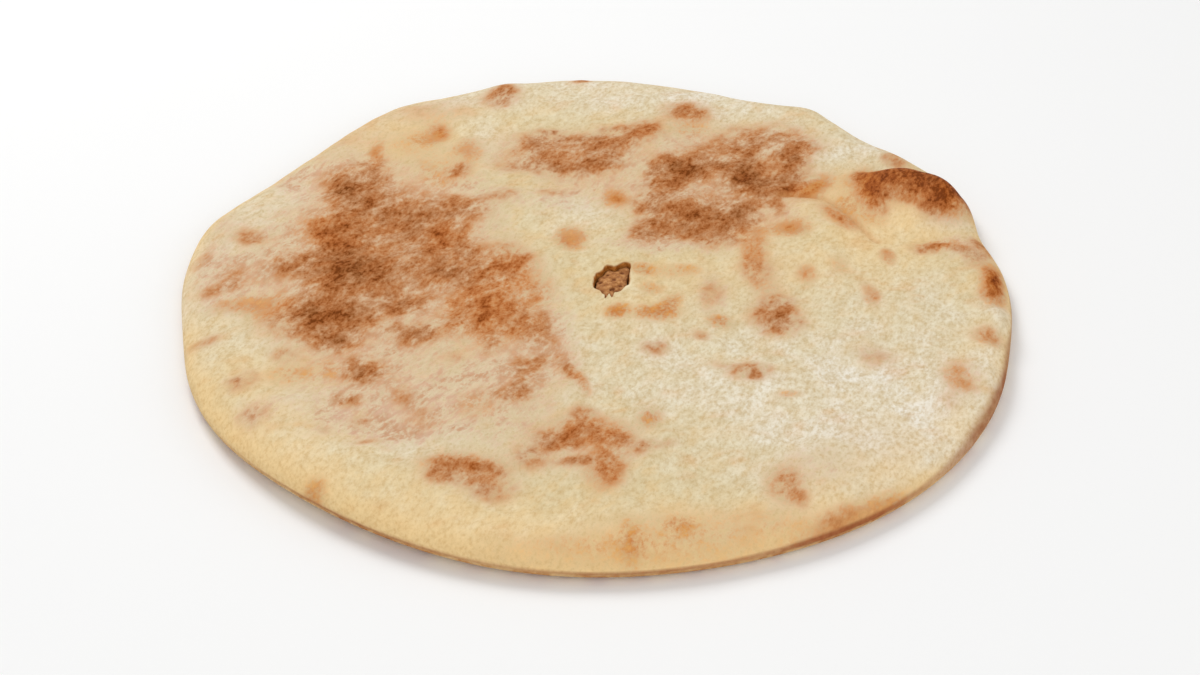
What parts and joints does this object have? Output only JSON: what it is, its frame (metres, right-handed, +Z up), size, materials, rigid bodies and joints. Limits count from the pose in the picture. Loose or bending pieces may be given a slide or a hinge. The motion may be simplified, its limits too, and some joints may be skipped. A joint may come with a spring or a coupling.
{
  "type": "lobiani",
  "caption": "Round baked flatbread with a bean filling, an uneven rolled rim, a puffed bubble on one side of the rim and a small vent in the top crust that shows the paste.",
  "frame": {"origin": "on the surface the bread rests on, under the middle of the bread", "axes": "+Z up through the bread, which is its shortest extent; +X to the side with the puffed bubble, the bread's right seen from the front; +Y to the far side"},
  "size_m": [0.2998, 0.3044, 0.0206],
  "materials": {
    "crust": "matte",
    "bean_paste": "matte"
  },
  "bodies": {
    "root": {"dough": "crust", "bean_filling": "bean_paste"}
  },
  "joints": []
}
